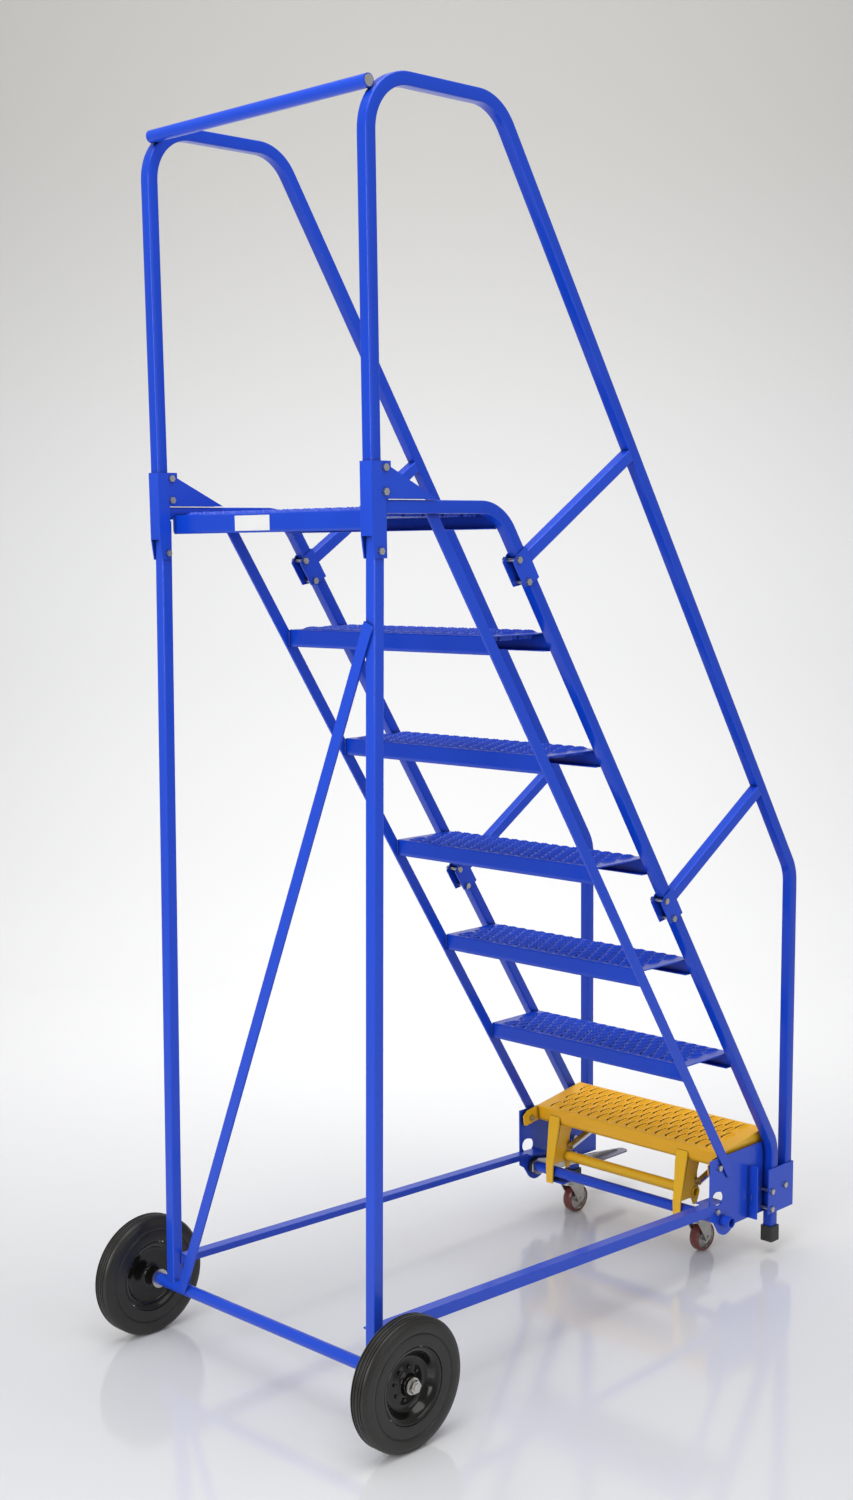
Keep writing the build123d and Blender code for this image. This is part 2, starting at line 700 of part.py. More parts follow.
def main():
    """Build and write every node."""
    os.makedirs("parts", exist_ok=True)
    blue_steps()
    platform()
    front_stringers()
    foot_tips()
    rear_stringers()
    rear_posts()
    cross_brace()
    axle()
    side_rails()
    side_plates()
    handrails()
    handrail_braces()
    stringer_clamps()
    clamp_bolts()
    rear_brackets()
    lower_brackets()
    bracket_bolts()
    top_bar()
    road_wheels()
    carriage()
    caster_forks()
    caster_wheels()
    lock_tread()
    lock_arms()
    lock_tube()
    return_springs()
    pedal()
    hinge_bolts()


main()
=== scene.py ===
import json
import math

import bmesh
import bpy
import numpy as np
from mathutils import Matrix, Vector


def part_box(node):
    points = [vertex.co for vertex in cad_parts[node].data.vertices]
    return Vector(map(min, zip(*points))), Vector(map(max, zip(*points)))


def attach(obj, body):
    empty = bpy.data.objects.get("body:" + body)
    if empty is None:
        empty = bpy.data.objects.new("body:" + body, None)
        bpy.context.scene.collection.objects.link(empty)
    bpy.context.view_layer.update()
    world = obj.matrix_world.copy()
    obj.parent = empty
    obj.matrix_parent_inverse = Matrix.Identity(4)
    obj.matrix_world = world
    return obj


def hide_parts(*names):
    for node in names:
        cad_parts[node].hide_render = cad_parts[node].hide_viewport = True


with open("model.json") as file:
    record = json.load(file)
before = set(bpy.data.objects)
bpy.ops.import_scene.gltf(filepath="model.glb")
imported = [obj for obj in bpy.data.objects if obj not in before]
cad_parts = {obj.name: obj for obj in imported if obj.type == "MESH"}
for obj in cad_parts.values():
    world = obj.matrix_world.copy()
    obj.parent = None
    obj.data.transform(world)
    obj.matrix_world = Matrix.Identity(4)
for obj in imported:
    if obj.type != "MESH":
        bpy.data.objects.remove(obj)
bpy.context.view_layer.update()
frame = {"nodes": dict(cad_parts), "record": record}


nodes = frame["nodes"]

# ---- Where the ladder's own lines run, in metres -----------------------------
# Depths are written from a line 4 mm ahead of the handrails' rear uprights, positive to the rear.
# SHIFT carries them into the shared frame, which is centred on the whole stand.
SHIFT = 0.6515
LEG_Y = -1.307
SLOPE = math.radians(57.49)
RISE = 0.254
RUN = RISE / math.tan(SLOPE)
TUBE = 0.0254
TUBE_CORNER = 0.003
TUBE_X = 0.3177
BEND = 0.100

TOP_RAIL_REAR, TOP_RAIL_BEND, TOP_RAIL_Z = -0.0088, -0.3336, 1.8033
LEG_FOOT_Z = 0.035
RAIL_Y, RAIL_BEND_Y, RAIL_LEG_Y = 0.004, -0.3357, -1.365
RAIL_FOOT_Z, RAIL_TOP_Z, RAIL_END_Z = 1.7907, 2.5633, 0.110

# Tread tops are the flat of the sheet, below the teeth.
FIRST_REAR, FIRST_TOP = -1.1387 + SHIFT, 0.2817
STEP_COUNT, STEP_DEPTH, STEP_HALF = 5, 0.178, 0.3048
LOCK_HALF = 0.2918
PLATFORM_REAR, PLATFORM_TOP, PLATFORM_DEPTH = -0.020 + SHIFT, 1.799, 0.3256
HINGE_Y, HINGE_Z, LOCK_TILT = -1.112 + SHIFT, 0.258, math.radians(8.5)
SHEET = 0.0022
STEP_CELL, PLATFORM_CELL, LOCK_CELL = 0.0022, 0.0027, 0.0020      # spacing of the tread meshes
SEAM_X = 0.3045                      # weld seams, just inside the stringers
AXLE_TOP_Z = 0.1481


# ---- Meshes ------------------------------------------------------------------
def grid_mesh(points, closed_u=False, closed_v=False):
    """Points and quads over a grid of points (rows u, columns v), joined round where closed."""
    rows, cols = points.shape[:2]
    u = np.arange(rows if closed_u else rows - 1)
    v = np.arange(cols if closed_v else cols - 1)
    a, b = np.meshgrid(u, v, indexing="ij")
    a2, b2 = (a + 1) % rows, (b + 1) % cols
    quads = np.stack([a * cols + b, a2 * cols + b, a2 * cols + b2, a * cols + b2], axis=-1)
    return points.reshape(-1, 3), quads.reshape(-1, 4)


def add_piece(name, parts, material, body, replaced=(), smooth=35, outward=True):
    """One Blender object from several (points, quads) shells, riding on a body."""
    starts = np.cumsum([0] + [len(p) for p, q in parts[:-1]])
    points = np.concatenate([p for p, q in parts])
    quads = np.concatenate([q + s for (p, q), s in zip(parts, starts)])
    mesh = bpy.data.meshes.new(name)
    mesh.from_pydata(points.tolist(), [], quads.tolist())
    mesh.validate()
    mesh.update()
    if outward:
        work = bmesh.new()
        work.from_mesh(mesh)
        bmesh.ops.recalc_face_normals(work, faces=work.faces)
        work.to_mesh(mesh)
        work.free()
    mesh.polygons.foreach_set("use_smooth", [True] * len(mesh.polygons))
    if smooth:
        mesh.set_sharp_from_angle(angle=math.radians(smooth))
    mesh.materials.append(material)
    piece = bpy.data.objects.new(name, mesh)
    bpy.context.scene.collection.objects.link(piece)
    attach(piece, body)
    if replaced:
        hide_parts(*replaced)
    return piece


def fan(ring, centre, flip=False):
    """Cap over a closed ring: the ring and a copy shrunk nearly to its centre, as a two-row grid."""
    inner = np.repeat(np.asarray(centre, float)[None, :], len(ring), axis=0)
    inner = ring * 0.02 + inner * 0.98
    pts = np.stack([ring, inner])
    pts = pts[::-1] if flip else pts
    return grid_mesh(pts, closed_v=True)


def rounded_square(half, corner, steps=5):
    """Outline of a square tube: a straight side, then a quarter circle, four times round."""
    t = np.linspace(0, math.pi / 2, steps)
    quarter = np.stack([half - corner + corner * np.cos(t), half - corner + corner * np.sin(t)], axis=1)
    turns = []
    for k in range(4):
        c, s = math.cos(k * math.pi / 2), math.sin(k * math.pi / 2)
        turns.append(quarter @ np.array([[c, s], [-s, c]]))
    return np.concatenate(turns)


def bent_path(corners, radius, steps):
    """Centreline in the y, z plane: straight runs joined by circular arcs that touch both runs."""
    pts = [np.asarray(corners[0], float)]
    for before, here, after in zip(corners[:-2], corners[1:-1], corners[2:]):
        here = np.asarray(here, float)
        a = np.asarray(before, float) - here
        b = np.asarray(after, float) - here
        a /= np.linalg.norm(a)
        b /= np.linalg.norm(b)
        half = math.acos(float(np.clip(a @ b, -1, 1))) / 2
        reach = radius / math.tan(half)
        middle = here + (a + b) / np.linalg.norm(a + b) * radius / math.sin(half)
        start, end = here + a * reach, here + b * reach
        va, vb = start - middle, end - middle
        turn = math.atan2(va[0] * vb[1] - va[1] * vb[0], float(va @ vb))
        t = np.linspace(0, turn, steps)[:, None]
        c, s = np.cos(t), np.sin(t)
        arc = middle + np.concatenate([va[0] * c - va[1] * s, va[0] * s + va[1] * c], axis=1)
        pts.extend(list(arc))
    pts.append(np.asarray(corners[-1], float))
    return np.array(pts)


def carried(path, x, profile):
    """Profile (across, outward) carried along a y, z path at width x, square to the path everywhere."""
    step = np.gradient(path, axis=0)
    step /= np.linalg.norm(step, axis=1)[:, None]
    out = np.stack([-step[:, 1], step[:, 0]], axis=1)
    y = path[:, None, 0] + out[:, None, 0] * profile[None, :, 1]
    z = path[:, None, 1] + out[:, None, 1] * profile[None, :, 1]
    xs = np.broadcast_to(x + profile[None, :, 0], y.shape)
    return np.stack([xs, y, z], axis=-1)


def tube_shell(path, x):
    """Square tube skin with its two ends capped."""
    rings = carried(path, x, rounded_square(TUBE / 2, TUBE_CORNER))
    ends = [fan(rings[0], rings[0].mean(0), flip=True), fan(rings[-1], rings[-1].mean(0))]
    return [grid_mesh(rings, closed_v=True)] + ends


def turned(profile, centre, steps=96):
    """Profile (radius, width) spun about the crosswise axis through the centre."""
    t = np.linspace(0, 2 * math.pi, steps, endpoint=False)[:, None]
    r = profile[None, :, 0]
    x = np.broadcast_to(centre[0] + profile[None, :, 1], (steps, len(profile)))
    return np.stack([x, centre[1] + r * np.cos(t), centre[2] + r * np.sin(t)], axis=-1)


def smooth_profile(points):
    """Closed outline with its corners softened by two rounds of corner cutting."""
    p = np.asarray(points, float)
    for _ in range(2):
        q = np.roll(p, -1, axis=0)
        p = np.stack([p * 0.75 + q * 0.25, p * 0.25 + q * 0.75], axis=1).reshape(-1, 2)
    return p


# ---- Shared shader effects -----------------------------------------------------
def new_group(name, inputs, outputs):
    """A shader node group with named sockets."""
    group = bpy.data.node_groups.new(name, "ShaderNodeTree")
    for title, kind, value in inputs:
        socket = group.interface.new_socket(name=title, in_out="INPUT", socket_type=kind)
        socket.default_value = value
    for title, kind in outputs:
        group.interface.new_socket(name=title, in_out="OUTPUT", socket_type=kind)
    return group, group.nodes.new("NodeGroupInput"), group.nodes.new("NodeGroupOutput")


def math_node(tree, operation, a, b=None, c=None, clamp=False):
    """A Math node with links or plain values on its inputs."""
    node = tree.nodes.new("ShaderNodeMath")
    node.operation = operation
    node.use_clamp = clamp
    for socket, value in zip(node.inputs, (a, b, c)):
        if value is None:
            continue
        if isinstance(value, (int, float)):
            socket.default_value = value
        else:
            tree.links.new(value, socket)
    return node.outputs[0]


def noise_node(tree, vector, scale, detail=3.0, rough=0.5):
    """A Noise Texture on the given coordinates."""
    node = tree.nodes.new("ShaderNodeTexNoise")
    node.inputs["Scale"].default_value = scale
    node.inputs["Detail"].default_value = detail
    node.inputs["Roughness"].default_value = rough
    tree.links.new(vector, node.inputs["Vector"])
    return node.outputs["Fac"]


def mix_node(tree, factor, a, b):
    """A colour Mix node."""
    node = tree.nodes.new("ShaderNodeMix")
    node.data_type = "RGBA"
    tree.links.new(factor, node.inputs[0])
    for socket, value in ((node.inputs[6], a), (node.inputs[7], b)):
        if isinstance(value, tuple):
            socket.default_value = value
        else:
            tree.links.new(value, socket)
    return node.outputs[2]


def surface_life():
    """Group: slow colour drift, fine speckle, dust near the floor and a scratch mask."""
    sockets = [("Vector", "NodeSocketVector", (0, 0, 0)), ("Drift Scale", "NodeSocketFloat", 6.0),
               ("Speck Scale", "NodeSocketFloat", 900.0), ("Dust", "NodeSocketFloat", 0.5)]
    outs = [("Drift", "NodeSocketFloat"), ("Speck", "NodeSocketFloat"), ("Dust", "NodeSocketFloat"),
            ("Scratch", "NodeSocketFloat")]
    g, gin, gout = new_group("surface_life", sockets, outs)
    vec = gin.outputs["Vector"]
    drift = g.nodes.new("ShaderNodeTexNoise")
    speck = g.nodes.new("ShaderNodeTexNoise")
    for node, scale in ((drift, "Drift Scale"), (speck, "Speck Scale")):
        g.links.new(vec, node.inputs["Vector"])
        g.links.new(gin.outputs[scale], node.inputs["Scale"])
    drift.inputs["Detail"].default_value = 3
    speck.inputs["Detail"].default_value = 1
    split = g.nodes.new("ShaderNodeSeparateXYZ")
    g.links.new(vec, split.inputs[0])
    low = g.nodes.new("ShaderNodeMapRange")
    g.links.new(split.outputs["Z"], low.inputs["Value"])
    low.inputs["From Min"].default_value = 0.45
    low.inputs["From Max"].default_value = 0.02
    dusty = math_node(g, "MULTIPLY", low.outputs[0], noise_node(g, vec, 28.0, 5.0, 0.65))
    dusty = math_node(g, "MULTIPLY", dusty, gin.outputs["Dust"], clamp=True)
    stretch = g.nodes.new("ShaderNodeMapping")
    stretch.inputs["Scale"].default_value = (60, 60, 9)
    stretch.inputs["Rotation"].default_value = (0.5, 0.3, 0.2)
    g.links.new(vec, stretch.inputs["Vector"])
    fine = noise_node(g, stretch.outputs[0], 4.0, 6.0, 0.7)
    scratch = g.nodes.new("ShaderNodeMapRange")
    g.links.new(fine, scratch.inputs["Value"])
    scratch.inputs["From Min"].default_value = 0.70
    scratch.inputs["From Max"].default_value = 0.76
    for title, out in (("Drift", drift.outputs["Fac"]), ("Speck", speck.outputs["Fac"]),
                       ("Dust", dusty), ("Scratch", scratch.outputs[0])):
        g.links.new(out, gout.inputs[title])
    return g


LIFE = surface_life()


def base_material(name):
    """Material with Object coordinates, the shared life group and a Principled shader."""
    mat = bpy.data.materials.new(name)
    mat.use_nodes = True
    tree = mat.node_tree
    shader = tree.nodes["Principled BSDF"]
    coords = tree.nodes.new("ShaderNodeTexCoord")
    life = tree.nodes.new("ShaderNodeGroup")
    life.node_tree = LIFE
    tree.links.new(coords.outputs["Object"], life.inputs["Vector"])
    return mat, tree, shader, life


def bumped(tree, shader, height, strength, distance):
    """Feeds a height to the shader's Normal through a Bump node."""
    bump = tree.nodes.new("ShaderNodeBump")
    bump.inputs["Strength"].default_value = strength
    bump.inputs["Distance"].default_value = distance
    tree.links.new(height, bump.inputs["Height"])
    tree.links.new(bump.outputs["Normal"], shader.inputs["Normal"])


def powder_coat(name, light, deep, dust_colour, rough):
    """Gloss powder coat: orange-peel skin, colour drift, painted highlight on sharp edges, painted shade in
    crevices and dust low down.
    """
    mat, tree, shader, life = base_material(name)
    life.inputs["Drift Scale"].default_value = 5.0
    life.inputs["Speck Scale"].default_value = 620.0
    life.inputs["Dust"].default_value = 0.20
    colour = mix_node(tree, life.outputs["Drift"], deep, light)
    # Painted highlight: sharp edges (high Pointiness) are mixed toward a paler copy of the paint.
    edge = tree.nodes.new("ShaderNodeNewGeometry")
    edge_highlight = tree.nodes.new("ShaderNodeMapRange")
    tree.links.new(edge.outputs["Pointiness"], edge_highlight.inputs["Value"])
    edge_highlight.inputs["From Min"].default_value = 0.53
    edge_highlight.inputs["From Max"].default_value = 0.60
    edge_highlight.inputs["To Max"].default_value = 0.35
    pale = tuple(min(1.0, c * 1.25 + 0.02) for c in light[:3]) + (1.0,)
    colour = mix_node(tree, edge_highlight.outputs[0], colour, pale)
    # Painted shade: ambient occlusion darkens the colour in crevices, slits, tooth valleys and joints.
    tight = tree.nodes.new("ShaderNodeAmbientOcclusion")
    tight.samples = 8
    tight.inputs["Distance"].default_value = 0.015
    painted_crevice_shade = tree.nodes.new("ShaderNodeMapRange")
    tree.links.new(tight.outputs["AO"], painted_crevice_shade.inputs["Value"])
    painted_crevice_shade.inputs["From Min"].default_value = 0.90
    painted_crevice_shade.inputs["From Max"].default_value = 0.35
    painted_crevice_shade.inputs["To Max"].default_value = 0.92
    shade = tuple(c * 0.10 for c in deep[:3]) + (1.0,)
    colour = mix_node(tree, painted_crevice_shade.outputs[0], colour, shade)
    colour = mix_node(tree, life.outputs["Dust"], colour, dust_colour)
    tree.links.new(colour, shader.inputs["Base Color"])
    gloss = math_node(tree, "MULTIPLY_ADD", life.outputs["Drift"], 0.10, rough - 0.05)
    gloss = math_node(tree, "MULTIPLY_ADD", life.outputs["Dust"], 0.35, gloss)
    gloss = math_node(tree, "MULTIPLY_ADD", life.outputs["Scratch"], 0.12, gloss, clamp=True)
    tree.links.new(gloss, shader.inputs["Roughness"])
    shader.inputs["Coat Weight"].default_value = 0.22
    shader.inputs["Specular IOR Level"].default_value = 0.32
    shader.inputs["Coat Roughness"].default_value = 0.08
    bumped(tree, shader, life.outputs["Speck"], 0.12, 0.0004)
    return mat


def plated(name, light, deep, rough=0.32):
    """Zinc or chrome plate: mottled spangle, fine drawn lines and duller patches."""
    mat, tree, shader, life = base_material(name)
    life.inputs["Drift Scale"].default_value = 45.0
    life.inputs["Speck Scale"].default_value = 1500.0
    colour = mix_node(tree, life.outputs["Drift"], deep, light)
    colour = mix_node(tree, life.outputs["Dust"], colour, (0.22, 0.20, 0.17, 1))
    tree.links.new(colour, shader.inputs["Base Color"])
    gloss = math_node(tree, "MULTIPLY_ADD", life.outputs["Drift"], 0.22, rough - 0.10)
    gloss = math_node(tree, "MULTIPLY_ADD", life.outputs["Scratch"], 0.15, gloss, clamp=True)
    tree.links.new(gloss, shader.inputs["Roughness"])
    shader.inputs["Metallic"].default_value = 1.0
    bumped(tree, shader, life.outputs["Speck"], 0.15, 0.0002)
    return mat


def moulded(name, light, deep, rough, spot_scale=260.0, bump=0.35, coat=0.0, dust=0.2):
    """Rubber, urethane or plastic: fine pitting, cloudy tone and scuffed dust near the floor."""
    mat, tree, shader, life = base_material(name)
    life.inputs["Drift Scale"].default_value = 18.0
    life.inputs["Speck Scale"].default_value = spot_scale
    life.inputs["Dust"].default_value = dust
    colour = mix_node(tree, life.outputs["Drift"], deep, light)
    colour = mix_node(tree, life.outputs["Dust"], colour, (0.16, 0.15, 0.135, 1))
    tree.links.new(colour, shader.inputs["Base Color"])
    gloss = math_node(tree, "MULTIPLY_ADD", life.outputs["Speck"], 0.18, rough - 0.09)
    tree.links.new(gloss, shader.inputs["Roughness"])
    shader.inputs["Coat Weight"].default_value = coat
    bumped(tree, shader, life.outputs["Speck"], bump, 0.0005)
    return mat


BLUE = powder_coat("blue powder coat", (0.0032, 0.062, 0.62, 1), (0.0024, 0.048, 0.52, 1),
                   (0.06, 0.10, 0.32, 1), 0.30)
YELLOW = powder_coat("yellow powder coat", (1.0, 0.52, 0.006, 1), (0.96, 0.45, 0.004, 1),
                     (0.62, 0.42, 0.16, 1), 0.33)
ZINC = plated("zinc plate", (0.72, 0.71, 0.68, 1), (0.46, 0.45, 0.42, 1))
BRIGHT = plated("bright plate", (0.80, 0.80, 0.80, 1), (0.62, 0.62, 0.62, 1), 0.22)
TYRE = moulded("tyre rubber", (0.0135, 0.0122, 0.0100, 1), (0.0075, 0.0068, 0.0056, 1), 0.36,
               bump=0.18, dust=0.06)
TIP = moulded("tip rubber", (0.022, 0.021, 0.019, 1), (0.013, 0.013, 0.012, 1), 0.55, bump=0.3)
HUB = powder_coat("black hub enamel", (0.0060, 0.0056, 0.0048, 1), (0.0030, 0.0028, 0.0024, 1),
                  (0.02, 0.019, 0.016, 1), 0.13)
CASTER_RED = moulded("caster urethane", (0.19, 0.030, 0.020, 1), (0.12, 0.018, 0.012, 1), 0.30,
                     spot_scale=300.0, bump=0.12, coat=0.3, dust=0.15)
PEDAL = powder_coat("pedal enamel", (0.165, 0.155, 0.235, 1), (0.125, 0.12, 0.19, 1),
                    (0.2, 0.19, 0.18, 1), 0.38)
LABEL = moulded("label film", (0.86, 0.86, 0.84, 1), (0.74, 0.75, 0.76, 1), 0.35,
                spot_scale=90.0, bump=0.05, coat=0.3, dust=0.0)

FINISH = {"blue_paint": BLUE, "yellow_paint": YELLOW, "zinc": ZINC, "bright_chrome": BRIGHT,
          "tyre_grey": TYRE, "black_rubber": TIP, "rim_black": HUB, "caster_red": CASTER_RED,
          "pedal_grey": PEDAL, "label_white": LABEL}

for part in frame["record"]["subparts"]:
    cad = nodes[part["node"]]
    cad.data.materials.clear()
    cad.data.materials.append(FINISH[part["material_slot"]])


# ---- Bent side frames ------------------------------------------------------------
def side_frames():
    """Stringers and handrails as smooth square tube on the frame's own centrelines."""
    drop_s = (TOP_RAIL_BEND - LEG_Y) * math.tan(SLOPE)
    drop_h = (RAIL_BEND_Y - RAIL_LEG_Y) * math.tan(SLOPE)
    stringer = [(TOP_RAIL_REAR, TOP_RAIL_Z), (TOP_RAIL_BEND, TOP_RAIL_Z), (LEG_Y, TOP_RAIL_Z - drop_s),
                (LEG_Y, LEG_FOOT_Z)]
    rail = [(RAIL_Y, RAIL_FOOT_Z), (RAIL_Y, RAIL_TOP_Z), (RAIL_BEND_Y, RAIL_TOP_Z),
            (RAIL_LEG_Y, RAIL_TOP_Z - drop_h), (RAIL_LEG_Y, RAIL_END_Z)]
    for tag, side in (("l", -1), ("r", 1)):
        for name, line in (("front_stringer_", stringer), ("handrail_", rail)):
            placed = [(y + SHIFT, z) for y, z in line]
            shells = tube_shell(bent_path(placed, BEND, 18), side * TUBE_X)
            add_piece(name + "skin_" + tag, shells, BLUE, "frame", [name + tag])


# ---- Grip treads -------------------------------------------------------------------
def tooth_field(x, d, half, depth):
    """Height over a tread top at width x and distance d from its rear edge.

    Long teeth lean 15 degrees off the climbing direction, 31 mm apart, in rows that step sideways by
    half a pitch. Across a tooth the height is a bell beside its sunk slit, with a lower lip on the
    slit's other edge. Along it the height fades as half an ellipse, with shallow notches.
    """
    pitch_x, row_pair, bare_ends, lean = 0.031, 0.057, 0.040, math.radians(75)
    reach, rise, tallest = 0.0225, 0.0074, 0.0078
    slit_reach, slit_near, slit_far, slit_deep = 0.0165, 0.0010, 0.0078, 0.0110
    rows = 2 * int(round(depth / row_pair)) - 1
    pitch = depth / (rows + 1)
    across = int((2 * half - bare_ends) / pitch_x)
    c, s = math.cos(lean), math.sin(lean)
    lift, cut = np.zeros_like(x), np.zeros(x.shape, bool)
    for odd in (0, 1):
        last = rows - (rows - 1 - odd) % 2
        row = np.clip(1 + odd + 2 * np.round((d / pitch - 1 - odd) / 2), 1 + odd, last)
        count = across - odd
        first = -(count - 1) / 2 * pitch_x
        for step in (-1, 0, 1):
            col = np.clip(np.round((x - first) / pitch_x) + step, 0, count - 1)
            dx = x - (first + col * pitch_x)
            dy = -(d - row * pitch)
            along, over = dx * c + dy * s, -dx * s + dy * c
            fade = np.sqrt(np.clip(1 - (along / reach) ** 2, 0, 1))
            ridge = np.exp(-((over - 0.0022) / 0.0034) ** 2)
            lip = np.exp(-((over + 0.0092) / 0.0020) ** 2)
            notch = 1 - 0.16 * (0.5 + 0.5 * np.cos(2 * math.pi * along / 0.0085))
            lift = np.maximum(lift, rise * (ridge + 0.45 * lip) * fade * notch)
            cut |= (over < -slit_near) & (over > -slit_far) & (np.abs(along) < slit_reach)
    return np.where(cut, -slit_deep, np.minimum(lift, tallest))


def tread_piece(name, half, rear, top, depth, cell, material, body, replaced, tilt=None):
    """Folded sheet: rear flange up, over the top with its teeth, down the front and back under the lip."""
    flange, lip = 0.038, 0.020
    across = np.arange(-half, half + cell / 2, cell)
    across = np.linspace(-half, half, len(across))
    r = 0.003
    t = np.linspace(0, math.pi / 2, 4)
    rear_side = np.stack([np.zeros(5), np.linspace(-flange, -r - 0.001, 5)], axis=1)
    rear_bend = np.stack([r - r * np.cos(t), -r + r * np.sin(t)], axis=1)
    flat = np.linspace(r, depth - r, int((depth - 2 * r) / cell) + 1)[1:-1]
    top_run = np.stack([flat, np.zeros(len(flat))], axis=1)
    front_bend = np.stack([depth - r + r * np.sin(t), -r + r * np.cos(t)], axis=1)
    front_side = np.stack([np.full(5, depth), np.linspace(-r - 0.001, -flange + r, 5)], axis=1)
    low_bend = np.stack([depth - r + r * np.cos(t), -flange + r - r * np.sin(t)], axis=1)[1:]
    lip_run = np.stack([np.linspace(depth - r - 0.001, depth - lip, 4), np.full(4, -flange)], axis=1)
    path = np.concatenate([rear_side, rear_bend, top_run, front_bend, front_side, low_bend, lip_run])
    on_top = (path[:, 1] > -1e-6) & (path[:, 0] > r) & (path[:, 0] < depth - r)
    X, D = np.meshgrid(across, path[:, 0], indexing="ij")
    height = tooth_field(X, D, half, depth)
    lift = np.where(on_top[None, :], height, 0)
    Z = top + path[None, :, 1] + lift
    points = np.stack([X, rear - D, Z], axis=-1)
    if tilt is not None:
        pivot_y, pivot_z, angle = tilt
        c, s = math.cos(angle), math.sin(angle)
        dy, dz = points[..., 1] - pivot_y, points[..., 2] - pivot_z
        points = np.stack([points[..., 0], pivot_y + dy * c - dz * s, pivot_z + dy * s + dz * c], axis=-1)
    shell = grid_mesh(points[::-1])
    piece = add_piece(name, [shell], material, body, replaced, smooth=50, outward=False)
    wall = piece.modifiers.new("sheet", "SOLIDIFY")
    wall.thickness = SHEET
    wall.offset = -1
    return piece


def treads():
    """Five blue steps, the platform and the raised lock step, each as its pressed sheet."""
    for k in range(1, STEP_COUNT + 1):
        name = "step_" + str(k + 1)
        tread_piece(name + "_sheet", STEP_HALF, FIRST_REAR + RUN * k, FIRST_TOP + RISE * k, STEP_DEPTH,
                    STEP_CELL, BLUE, "frame", [name])
    tread_piece("platform_sheet", STEP_HALF, PLATFORM_REAR, PLATFORM_TOP, PLATFORM_DEPTH,
                PLATFORM_CELL, BLUE, "frame", ["platform", "platform_edges"])
    tread_piece("lock_tread_sheet", LOCK_HALF, FIRST_REAR, FIRST_TOP, STEP_DEPTH,
                LOCK_CELL, YELLOW, "lock_step", ["lock_tread"],
                (HINGE_Y, HINGE_Z, -LOCK_TILT))


# ---- Weld beads ------------------------------------------------------------------
def weld(start, end, radius=0.0022):
    """Bead along a straight seam: a small round section whose radius ripples every 2.5 mm."""
    a, b = np.asarray(start, float), np.asarray(end, float)
    length = float(np.linalg.norm(b - a))
    n = max(8, int(length / 0.0008))
    t = np.linspace(0, 1, n)
    axis = (b - a) / length
    helper = np.array([1.0, 0, 0]) if abs(axis[0]) < 0.9 else np.array([0, 1.0, 0])
    u = np.cross(axis, helper)
    u /= np.linalg.norm(u)
    v = np.cross(axis, u)
    ends = np.sqrt(np.clip(1 - (2 * t - 1) ** 8, 0.02, 1))
    r = radius * (0.86 + 0.14 * np.abs(np.sin(math.pi * t * length / 0.0025))) * ends
    w = np.linspace(0, 2 * math.pi, 8, endpoint=False)
    ring = np.cos(w)[None, :, None] * u + np.sin(w)[None, :, None] * v
    return grid_mesh((a + (b - a) * t[:, None])[:, None, :] + ring * r[:, None, None], closed_v=True)


def welds():
    """Seams where treads meet the stringers and rear bars, and where the posts stand on the axle tube."""
    shells = []
    for k in range(1, STEP_COUNT + 1):
        rear, top = FIRST_REAR + RUN * k, FIRST_TOP + RISE * k
        for x in (-SEAM_X, SEAM_X):
            shells.append(weld((x, rear + 0.001, top - 0.003), (x, rear + 0.001, top - 0.036)))
            shells.append(weld((x, rear - 0.177, top - 0.003), (x, rear - 0.160, top - 0.001)))
    for side in (-1, 1):
        x, y = side * SEAM_X, -0.0195 + SHIFT
        shells.append(weld((x, y, 1.796), (x, y, 1.763)))
        for off in (-0.012, 0.012):
            x = side * TUBE_X + off
            shells.append(weld((x, 0.031 + SHIFT, AXLE_TOP_Z), (x, 0.049 + SHIFT, AXLE_TOP_Z)))
    add_piece("weld_beads", shells, BLUE, "frame", (), smooth=60)


# ---- Rear wheels -----------------------------------------------------------------
def tyre_outline(out, half):
    """Radius, width outline of the tyre: rings moulded on the sidewalls and four grooves round the tread."""
    wall = [(out * 0.575, half - 0.0035), (out * 0.600, half - 0.0026), (out * 0.755, half - 0.0016),
            (out * 0.762, half - 0.0034), (out * 0.776, half - 0.0034), (out * 0.784, half - 0.0010),
            (out * 0.86, half - 0.0003), (out * 0.925, half - 0.0016), (out * 0.945, half - 0.0036),
            (out * 0.955, half - 0.0030), (out * 0.985, half - 0.0068), (out - 0.0003, half - 0.0095)]
    tread = []
    for w in (0.0115, 0.0045, -0.0045, -0.0115):
        tread += [(out - 0.0003, w + 0.0019), (out - 0.0032, w + 0.0010), (out - 0.0032, w - 0.0010),
                  (out - 0.0003, w - 0.0019)]
    return np.array(wall + tread + [(r, -w) for r, w in reversed(wall)])


